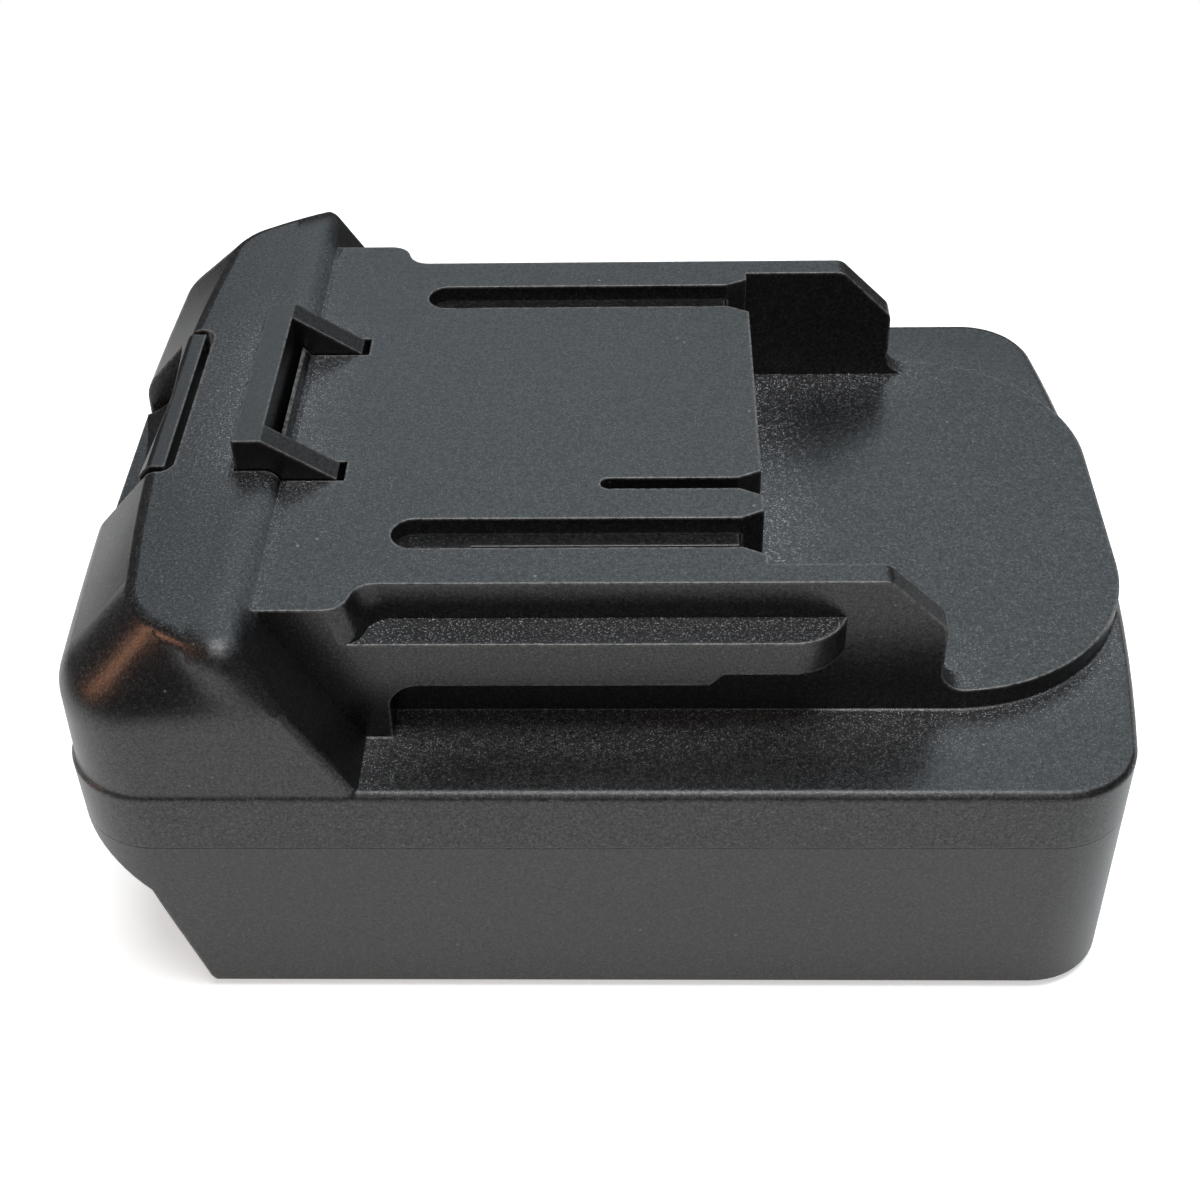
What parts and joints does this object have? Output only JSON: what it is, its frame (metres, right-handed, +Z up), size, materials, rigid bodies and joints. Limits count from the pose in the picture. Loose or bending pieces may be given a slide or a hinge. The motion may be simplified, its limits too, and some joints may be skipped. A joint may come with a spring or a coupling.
{
  "type": "power tool battery adapter",
  "caption": "Slide-on battery adapter for cordless tools: rail platform and sprung latch hook on top, terminal slots, open dock for a donor slide pack underneath.",
  "frame": {"origin": "on the plane the bottom rim stands on, at the middle of the body's length and width", "axes": "+Z up, +X along the slide towards the input terminals and away from the release button, -Y towards the side seen in the picture"},
  "size_m": [0.102, 0.0772, 0.0473],
  "materials": {
    "upper_shell": "fine spark-eroded charcoal black",
    "lower_shell": "fine spark-eroded charcoal black",
    "latch": "smoother matte charcoal",
    "spring_steel": "drawn wire",
    "carrier": "plain black",
    "contact_metal": "tinned copper alloy",
    "board": "green solder mask",
    "chip": "moulded package",
    "capacitor_can": "satin can",
    "fuse_body": "ceramic tube",
    "terminal_plastic": "glass-filled black",
    "blade_metal": "tinned brass",
    "lead_red": "insulation",
    "lead_black": "insulation",
    "lead_yellow": "insulation",
    "screw_steel": "zinc plated, blackened"
  },
  "bodies": {
    "body": {"upper_housing": "upper_shell", "lower_housing": "lower_shell", "latch_spring_left": "spring_steel", "latch_spring_right": "spring_steel", "contact_carrier": "carrier", "positive_output_contact": "contact_metal", "negative_output_contact": "contact_metal", "signal_output_contact": "contact_metal", "circuit_board": "board", "control_chip": "chip", "power_transistors": "chip", "filter_capacitor": "capacitor_can", "fuse": "fuse_body", "terminal_block": "terminal_plastic", "positive_input_blade": "blade_metal", "negative_input_blade": "blade_metal", "sense_input_blade": "blade_metal", "positive_lead": "lead_red", "negative_lead": "lead_black", "sense_lead": "lead_yellow", "housing_screws": "screw_steel"},
    "latch": {"release_latch": "latch"}
  },
  "joints": [
    {"name": "latch_slide", "type": "slide", "parent": "body", "child": "latch", "axis": [0, 0, -1], "range_m": [0, 0.0045], "stiffness_N_per_m": 2500, "springref_m": -0.002, "deforming": ["latch_spring_left", "latch_spring_right"]}
  ]
}
